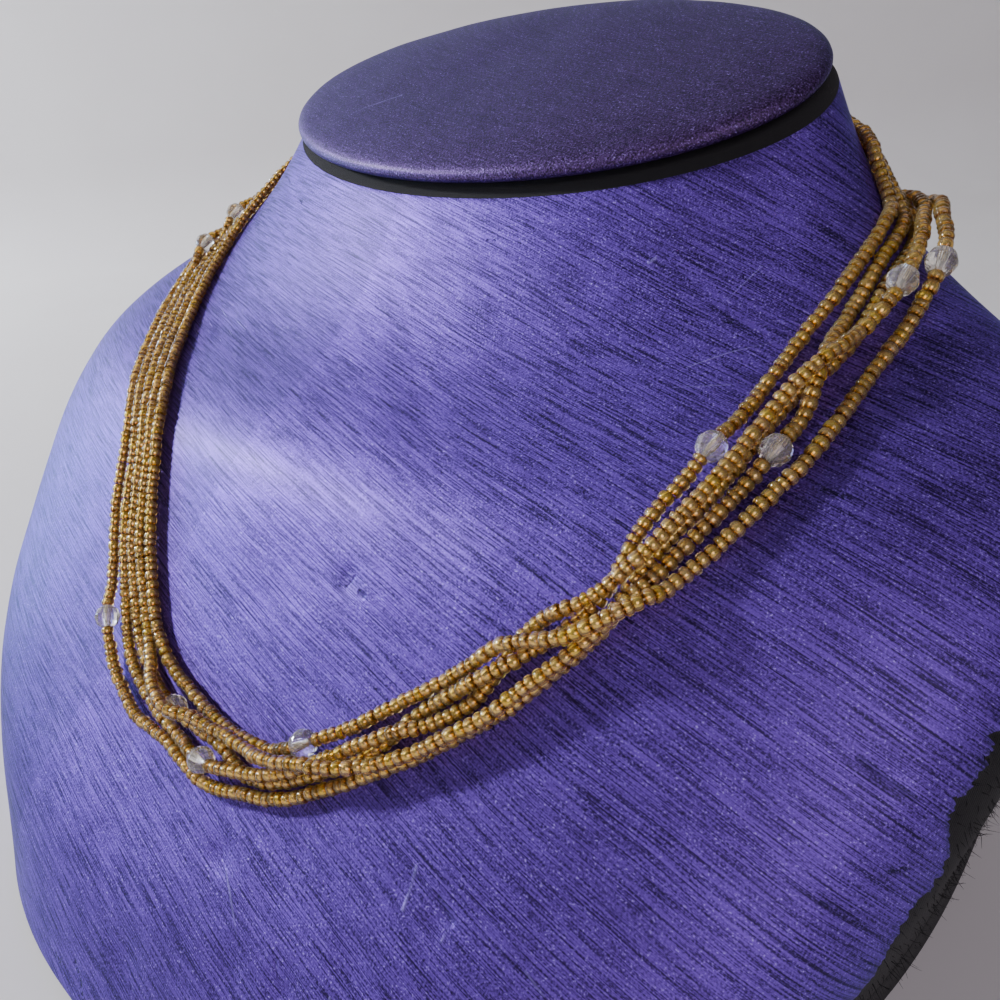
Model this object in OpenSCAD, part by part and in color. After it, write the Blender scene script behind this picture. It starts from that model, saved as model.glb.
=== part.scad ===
// Five strand necklace of seed beads and cut crystals, worn on its low neck bust.
// Millimetres, Z up. The bust looks along -Y and stands on its black base cover at z = 0.

/* [Bust] */
// Width across the shoulders
bust_w = 200; // [192:1:210]
// Depth of the base, front to back
base_d = 172; // [160:1:190]
// Height of the middle of the neck's top
neck_h = 110; // [100:1:120]
// Forward tilt of the neck's top, degrees
neck_tilt = 24; // [18:1:28]

/* [Cap] */
// Width of the oval cap
cap_w = 103; // [100:1:110]
// Depth of the oval cap
cap_d = 52; // [52:1:56]
// Thickness of the cap's rim
cap_t = 3.6; // [3.2:0.2:5]
// Height of the groove under the rim
groove_t = 1.4; // [1:0.1:2]
// How far the groove goes in under the rim
groove_in = 4; // [3:0.5:6]

/* [Base cover] */
// Thickness of the black cover under the bust
cover_t = 1.5; // [1:0.1:2]

/* [Necklace] */
// Diameter of a strand of seed beads
seed_d = 1.9; // [1.5:0.05:1.95]
// Diameter of a cut crystal
crystal_d = 4; // [3:0.1:4]
// Diameter of the thread
thread_d = 0.6; // [0.3:0.1:0.6]
// Thickness of the plain clasp
clasp_t = 3; // [2:0.5:4]

/* [Hidden] */
// Clearance between pieces that lie together
gap = 0.1;
// Middle to middle distance of strands that lie side by side
strand_step = 2.05;
// Height of a strand's middle over the bust it lies on
first_lift = 1.2;
// Underside of the bust's body
body_z = cover_t + gap;

// Sections of the bust, from the neck's top down to the base. Shares of the driving sizes:
// height of the neck's top, middle and both depths of the base's depth, width of the
// shoulders' width, tilt of the neck's tilt. Squareness 2 is an oval.
// down %, height, middle, width, front, back, tilt, squareness in front, behind
sections = [
    [  0, 1.000, 0.164, 0.518, 0.145, 0.155, 1.00, 2.00, 2.0],
    [ 20, 0.829, 0.110, 0.658, 0.185, 0.175, 0.88, 2.00, 2.0],
    [ 45, 0.689, 0.034, 0.909, 0.243, 0.205, 0.66, 2.47, 2.1],
    [ 60, 0.605, 0.055, 1.000, 0.349, 0.273, 0.78, 2.89, 2.1],
    [ 75, 0.457, 0.097, 0.953, 0.486, 0.335, 0.64, 3.60, 2.3],
    [ 88, 0.244, 0.104, 0.926, 0.548, 0.385, 0.28, 3.04, 2.4],
    [100, 0.000, 0.100, 0.902, 0.600, 0.400, 0.00, 2.33, 2.4]];
around_steps = 60;
// Levels of the mesh, from the base up to the neck's top
levels = [for (k = [27:-1:0]) 100 * k / 27];

// Middle line of the five strands on the bust, from the clasp over the right shoulder,
// the front and the left shoulder back to the clasp. Around 0 is the front, 90 the right.
// around degrees, down %
middle = [
    [ 181, 11.5], [ 150, 12.2], [ 120, 15.0], [ 105, 16.8], [  95, 17.3], [  88, 18.5],
    [  80, 23.0], [  71, 30.5], [  62, 40.0], [  52, 49.5], [  41, 55.0], [  30, 60.5],
    [  20, 65.5], [  11, 69.0], [   2, 70.0], [  -6, 69.0], [ -14, 66.5], [ -23, 61.5],
    [ -38, 51.0], [ -52, 40.5], [ -66, 31.5], [ -79, 25.0], [ -90, 20.7], [-102, 17.8],
    [-116, 15.5], [-132, 13.5], [-150, 12.2], [-178, 11.5]];
// Length of the middle line for which the tables below give the way along it
table_length = 413;

// How each strand lies beside the middle line, charted by hand.
// along the line, side outward, layer above the bust (both in strand steps), 1 at a crystal
strand_a = [
    [5, -2, 0, 0], [30, -2, 0, 0], [36, -2, 0.6, 0], [40, -2, 1.35, 1], [44, -2, 0.6, 0],
    [50, -2, 0, 0], [62, -2, 0, 0], [69, -1.2, 0, 0], [74, -0.65, 0, 0], [78, -0.85, 0, 0],
    [82, -1, 0, 0], [90, -1.5, 0, 0], [100, -1.9, 0, 0], [112, -1.9, 0, 0],
    [118, -1.9, 0.6, 1], [124, -2, 0, 0], [131, -1.7, 0, 0], [136, -0.9, 0, 0],
    [141, -0.45, 0, 0], [146, -0.3, 0, 0], [150, 0, 0.5, 0], [154, 0.2, 0.95, 0],
    [158, 0.1, 1, 0], [162, -0.05, 0.3, 0], [166, -0.1, 0, 0], [170, 0.2, 0, 0],
    [174, 0.7, 0, 0], [178, 0.9, 0, 0], [190, 0.8, 0, 0], [196, 0.85, 0, 0],
    [200, 0.25, 0, 0], [204, -0.5, 0, 0], [209, -0.7, 0.2, 0], [215, -0.6, 0.6, 1],
    [222, -0.1, 0, 0], [232, 0.05, 0, 0], [248, 0.4, 0, 0], [263, 0.3, 0, 0],
    [276, 0, 0, 0], [300, 0, 0, 0], [316, -0.1, 0, 0], [323, -0.2, 0.1, 0],
    [329, -0.15, 0.95, 1], [336, 0, 0.2, 0], [345, 0, 0, 0], [409, 0, 0, 0]];
strand_b = [
    [5, -1, 0, 0], [62, -1, 0, 0], [69, -0.3, 0, 0], [74, 0.4, 0, 0], [79, 0.15, 0, 0],
    [85, -0.1, 0, 0], [92, -0.2, 0, 0], [96, 0, 0.5, 0], [100, 0.3, 1, 0],
    [104, 0.75, 1, 0], [107, 1.1, 0.5, 0], [110, 1.35, 0.3, 0], [115, 1.4, 0.6, 1],
    [120, 1.05, 0, 0], [130, 0.95, 0, 0], [137, 0.95, 0.8, 0], [142, 1, 1, 0],
    [147, 1.3, 1, 0], [153, 1.8, 1, 0], [160, 2.2, 1, 0], [170, 2.1, 1, 0],
    [175, 1.8, 1.05, 0], [180, 1.1, 1.7, 0], [184, 0.4, 2, 0], [190, -0.5, 1.9, 0],
    [196, -1.1, 1.3, 0], [202, -1.5, 1.1, 0], [208, -1.6, 1.4, 0], [214, -0.9, 2.05, 0],
    [220, -0.95, 1.5, 0], [226, -1, 0.5, 0], [232, -1, 0, 0], [248, -0.7, 0, 0],
    [263, -0.75, 0, 0], [276, -1, 0, 0], [300, -1, 0, 0], [316, -1.2, 0, 0],
    [323, -1.25, 0, 0], [329, -1.42, 0, 0], [336, -1.15, 0, 0], [345, -1, 0.1, 0], [352, -1, 1.3, 1],
    [359, -1, 0.1, 0], [409, -1, 0, 0]];
strand_c = [
    [5, 1, 0, 0], [62, 1, 0, 0], [66, 1.25, 0.65, 0], [70, 1.2, 1, 0], [75, 1.1, 1, 0],
    [81, 1.5, 1.3, 0], [87.5, 1.8, 1.4, 1], [94, 1.4, 1.1, 0], [99, 1.2, 1.6, 0],
    [103, 0.8, 2, 0], [107, 0.3, 1.7, 0], [111, 0, 1.15, 0], [116, 0, 1.1, 0],
    [130, 0, 1.05, 0], [134, -0.15, 1.05, 0], [139, -0.45, 1, 0], [144, -1.05, 1, 0],
    [148, -1.4, 0.2, 0], [151, -1.2, 0, 0], [154, -0.4, 0, 0], [157, 0.3, 0, 0],
    [161, 0.9, 0, 0], [165, 1, 0.3, 0], [170, 0.7, 1, 0], [175, 0.4, 1, 0],
    [180, 0.25, 1, 0], [186, 0.35, 1, 0], [192, 0.35, 1, 0], [197, 0.5, 1, 0],
    [205, 0.85, 0.7, 1], [212, 0.9, 0, 0], [220, 1, 0, 0], [230, 1.4, 0, 0],
    [240, 1.3, 0, 0], [255, 1.5, 0, 0], [264, 1.3, 0, 0], [276, 1, 0, 0], [300, 1, 0, 0],
    [313, 1, 0.2, 0], [320, 1.05, 0.95, 1], [326, 1.2, 0.1, 0], [330, 1.2, 0, 0],
    [336, 1.05, 0, 0], [345, 1, 0, 0], [409, 1, 0, 0]];
strand_d = [
    [5, 2, 0, 0], [62, 2, 0, 0], [66, 2.15, 1, 0], [70, 2, 1.8, 0], [75, 1.8, 1.85, 0],
    [79, 2.7, 1.85, 0], [83.5, 3.4, 1.6, 1], [90, 3.3, 0.5, 0], [96, 3, 0, 0],
    [108, 2.9, 0, 0], [114, 2.9, 0, 0], [120, 2.5, 0, 0], [128, 2.2, 0, 0],
    [133, 1.95, 0.4, 0], [137, 1.6, 1.6, 0], [141, 1, 2, 0], [146, 0.4, 1.9, 0],
    [150, -0.4, 1.6, 0], [154, -1, 1.1, 0], [158, -1.1, 0.4, 0], [163, -1.1, 0, 0],
    [176, -1.2, 0, 0], [186, -1.2, 0.6, 1], [193, -1.2, 0, 0], [200, -1.5, 0, 0],
    [209, -2, 0, 0], [215, -2.1, 0, 0], [226, -2, 0, 0], [248, -2, 0, 0],
    [263, -1.9, 0, 0], [276, -2.05, 0, 0], [300, -2.05, 0, 0], [316, -2.25, 0, 0],
    [329, -2.4, 0, 0], [336, -2.2, 0, 0], [345, -2.05, 0, 0], [363, -2, 0.1, 0],
    [370, -2, 1.35, 1], [377, -2, 0.1, 0], [409, -2, 0, 0]];
strand_e = [
    [5, 0, 0, 0], [45, 0, 0.1, 0], [52, 0, 1.3, 1], [59, 0, 0.1, 0], [62, 0.1, 0, 0],
    [66, 0.4, 0, 0], [70, 1, 0, 0], [75, 1.6, 0, 0], [80, 1.35, 0, 0], [87, 0.9, 0, 0],
    [96, 0.9, 0, 0], [100, 0.7, 0, 0], [105, 0.05, 0, 0], [109, -0.1, 0, 0],
    [130, -0.05, 0, 0], [136, 0.2, 0, 0], [141, 0.7, 0, 0], [146, 1.2, 0, 0],
    [150, 1.6, 0, 0], [157, 2.2, 0, 0], [170, 2.2, 0, 0], [178, 1.95, 0, 0],
    [190, 1.85, 0, 0], [197, 1.95, 0, 0], [204, 2.3, 0, 0], [210, 1.95, 0, 0],
    [214, 1.9, 0, 0], [218, 2.3, 0, 0], [223, 3, 0, 0], [230, 3.1, 0.2, 0],
    [237, 2.8, 0.7, 1], [244, 2.8, 0, 0], [256, 3, 0, 0], [264, 2.7, 0, 0], [276, 2, 0, 0],
    [300, 2.05, 0, 0], [313, 2.1, 0, 0], [320, 2.4, 0, 0], [328, 2.4, 0, 0],
    [333, 2.3, 0.2, 0],
    [339, 2.2, 1.2, 1], [346, 2.15, 0.1, 0], [360, 2, 0, 0], [409, 2, 0, 0]];
strands = [strand_a, strand_b, strand_c, strand_d, strand_e];
// Rings of a strand's tube: sides, and the longest way from one ring to the next
tube_sides = 8;
ring_step = 8;

// Smooth reading of a table whose first column is the key. A column doesn't swing past its rows.
function rise(table, i) = (table[i + 1] - table[i]) / (table[i + 1][0] - table[i][0]);
function inner_slope(before, after, h0, h1) = before * after <= 0 ? 0
    : 3 * (h0 + h1) / ((2 * h1 + h0) / before + (h1 + 2 * h0) / after);
function end_slope(near, far, h0, h1) =
    let (m = ((2 * h0 + h1) * near - h0 * far) / (h0 + h1))
    m * near <= 0 ? 0 : near * far < 0 && abs(m) > 3 * abs(near) ? 3 * near : m;
function slopes(table) =
    let (last = len(table) - 1,
         rises = [for (i = [0:last - 1]) rise(table, i)],
         steps = [for (i = [0:last - 1]) table[i + 1][0] - table[i][0]])
    [for (i = [0:last]) [for (c = [0:len(table[0]) - 1])
        i == 0 ? end_slope(rises[0][c], rises[1][c], steps[0], steps[1])
        : i == last ? end_slope(rises[last - 1][c], rises[last - 2][c],
            steps[last - 1], steps[last - 2])
        : inner_slope(rises[i - 1][c], rises[i][c], steps[i - 1], steps[i])]];
function read(table, slope, key) =
    let (passed = len([for (row = table) if (row[0] <= key) 1]) - 1,
         i = max(0, min(len(table) - 2, passed)),
         h = table[i + 1][0] - table[i][0],
         u = (key - table[i][0]) / h)
    (1 + 2 * u) * (1 - u) * (1 - u) * table[i] + u * (1 - u) * (1 - u) * h * slope[i]
    + u * u * (3 - 2 * u) * table[i + 1] - u * u * (1 - u) * h * slope[i + 1];
function unit(v) = v / norm(v);

// The bust's skin at an angle around and a share down
section_slopes = slopes(sections);
function skin(around, down) =
    let (s = read(sections, section_slopes, down),
         front = cos(around) > 0,
         depth = (front ? s[4] : s[5]) * base_d,
         power = front ? s[7] : s[8],
         across = abs(sin(around)) / (s[3] * bust_w / 2),
         reach = pow(pow(across, power) + pow(abs(cos(around)) / depth, power), -1 / power),
         y = -reach * cos(around),
         tilt = s[6] * neck_tilt)
    [reach * sin(around), s[2] * base_d + y * cos(tilt),
        body_z + s[1] * (neck_h - body_z) + y * sin(tilt)];
function skin_across(around, down) = skin(around + 0.5, down) - skin(around - 0.5, down);
function skin_down(around, down) = skin(around, down + 0.5) - skin(around, down - 0.5);
function skin_normal(around, down) = unit(cross(skin_down(around, down), skin_across(around, down)));

// The middle line, with the real way along it as its key
middle_points = [for (row = middle) skin(row[0], row[1])];
middle_run = [for (i = 0, run = 0; i < len(middle); i = i + 1,
    run = run + (i < len(middle) ? norm(middle_points[i] - middle_points[i - 1]) : 0)) run];
middle_table = [for (i = [0:len(middle) - 1]) [middle_run[i], middle[i][0], middle[i][1]]];
middle_slopes = slopes(middle_table);
stretch = middle_run[len(middle) - 1] / table_length;

// A point beside and above the middle line: [point, direction away from the bust]
function beside(along, side, layer) =
    let (run = along * stretch,
         here = read(middle_table, middle_slopes, run),
         next = read(middle_table, middle_slopes, run + 0.5),
         last = read(middle_table, middle_slopes, run - 0.5),
         ahead = unit(skin(next[1], next[2]) - skin(last[1], last[2])),
         a = skin_across(here[1], here[2]),
         d = skin_down(here[1], here[2]),
         out = cross(unit(cross(d, a)), ahead),
         fold = (a * a) * (d * d) - (a * d) * (a * d),
         around = here[1] + strand_step * side * ((a * out) * (d * d) - (d * out) * (a * d)) / fold,
         down = here[2] + strand_step * side * ((d * out) * (a * a) - (a * out) * (a * d)) / fold,
         away = skin_normal(around, down))
    [skin(around, down) + away * (first_lift + strand_step * layer), away];
function place(rows, slope, along) =
    let (r = read(rows, slope, along))
    beside(along, r[1], r[2]);

// Half the bare thread inside a crystal, as way along the middle line
function half_hole(rows, slope, along) =
    (crystal_d / 2 + 2 * gap)
    / norm(place(rows, slope, along + 0.5)[0] - place(rows, slope, along - 0.5)[0]);

// Rings of a strand's tube: [along, radius], narrowed to the thread inside each crystal
function rings(rows, slope) =
    [for (i = [0:len(rows) - 1])
        let (along = rows[i][0],
             hole = rows[i][3] == 1 ? half_hole(rows, slope, along) : 0,
             step = i < len(rows) - 1 ? rows[i + 1][0] - along : 0,
             parts = max(1, ceil(step / ring_step)))
        each [
            each rows[i][3] == 1
                ? [[along - hole - gap, seed_d / 2], [along - hole, thread_d / 2],
                   [along + hole, thread_d / 2], [along + hole + gap, seed_d / 2]]
                : [[along, seed_d / 2]],
            each [for (k = [1:1:parts - 1]) [along + step * k / parts, seed_d / 2]]]];

// A tube through rings of points, closed at both ends
module tube(ring_points) {
    sides = len(ring_points[0]);
    last = len(ring_points) - 1;
    polyhedron(
        points = [for (ring = ring_points) each ring],
        faces = [
            [for (k = [0:sides - 1]) k],
            for (i = [0:last - 1]) for (k = [0:sides - 1])
                let (a = i * sides + k, b = i * sides + (k + 1) % sides)
                each [[a, a + sides, b], [b, a + sides, b + sides]],
            [for (k = [sides - 1:-1:0]) last * sides + k]]);
}

module strand(rows) {
    slope = slopes(rows);
    list = rings(rows, slope);
    spots = [for (ring = list) place(rows, slope, ring[0])];
    last = len(list) - 1;
    tube([for (i = [0:last])
        let (ahead = unit(spots[min(last, i + 1)][0] - spots[max(0, i - 1)][0]),
             across = unit(cross(spots[i][1], ahead)),
             up = cross(ahead, across))
        [for (k = [0:tube_sides - 1])
            spots[i][0] + list[i][1] * (across * cos(360 * k / tube_sides)
                + up * sin(360 * k / tube_sides))]]);
}

module strand_1() { color([0.85, 0.62, 0.25]) strand(strand_a); }
module strand_2() { color([0.82, 0.58, 0.22]) strand(strand_b); }
module strand_3() { color([0.80, 0.60, 0.28]) strand(strand_c); }
module strand_4() { color([0.86, 0.66, 0.30]) strand(strand_d); }
module strand_5() { color([0.78, 0.55, 0.20]) strand(strand_e); }

// Every crystal's strand and its place along that strand
crystal_seats = [for (rows = strands) for (row = rows) if (row[3] == 1) [rows, row[0]]];

// One round cut crystal with its drilled hole along Z
module cut_crystal() {
    r = crystal_d / 2;
    hole_r = thread_d / 2 + 2 * gap;
    rotate_extrude($fn = 12)
        polygon([[hole_r, -0.92 * r], [0.58 * r, -0.87 * r], [0.97 * r, -0.3 * r],
            [0.97 * r, 0.3 * r], [0.58 * r, 0.87 * r], [hole_r, 0.92 * r]]);
}

// A crystal on its strand, turned so that its hole follows the thread
module crystal(i) {
    rows = crystal_seats[i][0];
    along = crystal_seats[i][1];
    slope = slopes(rows);
    hole = half_hole(rows, slope, along);
    from = place(rows, slope, along - hole)[0];
    to = place(rows, slope, along + hole)[0];
    ahead = unit(to - from);
    color([0.93, 0.92, 0.88])
        translate((from + to) / 2)
        rotate([0, acos(ahead[2]), atan2(ahead[1], ahead[0])])
        cut_crystal();
}

module bust_body() {
    color([0.36, 0.32, 0.66])
        tube([for (down = levels) [for (k = [0:around_steps - 1])
            skin(360 * k / around_steps, down)]]);
}

// The padded oval cap, on a plug that leaves the groove under its rim.
// height over the neck's top, inset from the cap's outline
module neck_cap() {
    rows = [
        [0.2, groove_in], [groove_t, groove_in], [groove_t + 0.1, 1],
        [groove_t + 1, 0.1], [groove_t + cap_t / 2, 0], [groove_t + cap_t - 1.2, 0.3],
        [groove_t + cap_t - 0.3, 1.2], [groove_t + cap_t, 3.2]];
    color([0.42, 0.36, 0.62])
        translate([0, sections[0][2] * base_d, neck_h])
        rotate([neck_tilt, 0, 0])
        tube([for (row = rows) [for (k = [0:around_steps - 1])
            [(cap_w / 2 - row[1]) * sin(360 * k / around_steps),
             -(cap_d / 2 - row[1]) * cos(360 * k / around_steps), row[0]]]]);
}

module base_cover() {
    color([0.06, 0.06, 0.07])
        linear_extrude(cover_t)
        polygon([for (k = [0:around_steps - 1])
            let (p = skin(360 * k / around_steps, 100)) [p[0], p[1]]]);
}

// A plain bar that takes all five strand ends at the back of the neck
module clasp() {
    start = place(strand_e, slopes(strand_e), strand_e[0][0]);
    last_row = strand_a[len(strand_a) - 1];
    end = place(strand_a, slopes(strand_a), last_row[0]);
    ahead = unit(start[0] - end[0]);
    away = unit(start[1] + end[1]);
    length = norm(start[0] - end[0]) - 9 * gap;
    height = 5 * strand_step + 2;
    color([0.78, 0.62, 0.3])
        translate((start[0] + end[0]) / 2 + away * (clasp_t / 2 - first_lift + 3 * gap))
        multmatrix([
            [ahead[0], cross(away, ahead)[0], away[0], 0],
            [ahead[1], cross(away, ahead)[1], away[1], 0],
            [ahead[2], cross(away, ahead)[2], away[2], 0],
            [0, 0, 0, 1]])
        cube([length, height, clasp_t], center = true);
}

bust_body();
neck_cap();
base_cover();
clasp();
strand_1();
strand_2();
strand_3();
strand_4();
strand_5();
crystal(0);  // crystal_01
crystal(1);  // crystal_02
crystal(2);  // crystal_03
crystal(3);  // crystal_04
crystal(4);  // crystal_05
crystal(5);  // crystal_06
crystal(6);  // crystal_07
crystal(7);  // crystal_08
crystal(8);  // crystal_09
crystal(9);  // crystal_10
crystal(10);  // crystal_11
crystal(11);  // crystal_12
crystal(12);  // crystal_13
crystal(13);  // crystal_14
crystal(14);  // crystal_15
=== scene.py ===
"""Looks of the five strand necklace of seed beads and cut crystals on its low neck bust."""
import math
import random

import bmesh
import bpy
import numpy as np
from mathutils import Matrix, Vector, noise


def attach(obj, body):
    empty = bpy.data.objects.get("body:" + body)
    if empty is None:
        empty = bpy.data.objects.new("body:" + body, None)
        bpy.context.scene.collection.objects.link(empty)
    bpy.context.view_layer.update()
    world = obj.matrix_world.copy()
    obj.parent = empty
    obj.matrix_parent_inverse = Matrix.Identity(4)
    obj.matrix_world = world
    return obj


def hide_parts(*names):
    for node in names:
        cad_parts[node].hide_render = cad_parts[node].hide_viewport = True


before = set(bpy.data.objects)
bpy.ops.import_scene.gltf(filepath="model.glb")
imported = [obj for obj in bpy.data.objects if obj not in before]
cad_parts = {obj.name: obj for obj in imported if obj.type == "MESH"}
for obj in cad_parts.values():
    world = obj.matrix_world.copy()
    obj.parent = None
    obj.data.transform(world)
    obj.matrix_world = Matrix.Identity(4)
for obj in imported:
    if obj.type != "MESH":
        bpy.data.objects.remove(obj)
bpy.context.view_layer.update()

MM = 0.001

# ---- The bust and the strands as the CAD part has them, in millimetres and degrees ----

bust_w, base_d, neck_h, neck_tilt = 200.0, 172.0, 110.0, 24.0
cap_w, cap_d, groove_t, groove_in = 103.0, 52.0, 1.4, 4.0
cover_t, gap = 1.5, 0.1
strand_step, first_lift = 2.05, 1.2
body_z = cover_t + gap
crystal_d, thread_d = 4.0, 0.6
crystal_flat = 0.93  # share of a crystal's radius at which its ends are cut flat

# down %, height, middle, width, front, back, tilt, squareness in front, behind
sections = np.array([
    [0, 1.000, 0.164, 0.518, 0.145, 0.155, 1.00, 2.00, 2.0],
    [20, 0.829, 0.110, 0.658, 0.185, 0.175, 0.88, 2.00, 2.0],
    [45, 0.689, 0.034, 0.909, 0.243, 0.205, 0.66, 2.47, 2.1],
    [60, 0.605, 0.055, 1.000, 0.349, 0.273, 0.78, 2.89, 2.1],
    [75, 0.457, 0.097, 0.953, 0.486, 0.335, 0.64, 3.60, 2.3],
    [88, 0.244, 0.104, 0.926, 0.548, 0.385, 0.28, 3.04, 2.4],
    [100, 0.000, 0.100, 0.902, 0.600, 0.400, 0.00, 2.33, 2.4]])

# around degrees, down %
middle = np.array([
    [181, 11.5], [150, 12.2], [120, 15.0], [105, 16.8], [95, 17.3], [88, 18.5],
    [80, 23.0], [71, 30.5], [62, 40.0], [52, 49.5], [41, 55.0], [30, 60.5],
    [20, 65.5], [11, 69.0], [2, 70.0], [-6, 69.0], [-14, 66.5], [-23, 61.5],
    [-38, 51.0], [-52, 40.5], [-66, 31.5], [-79, 25.0], [-90, 20.7], [-102, 17.8],
    [-116, 15.5], [-132, 13.5], [-150, 12.2], [-178, 11.5]])
table_length = 413.0

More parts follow.
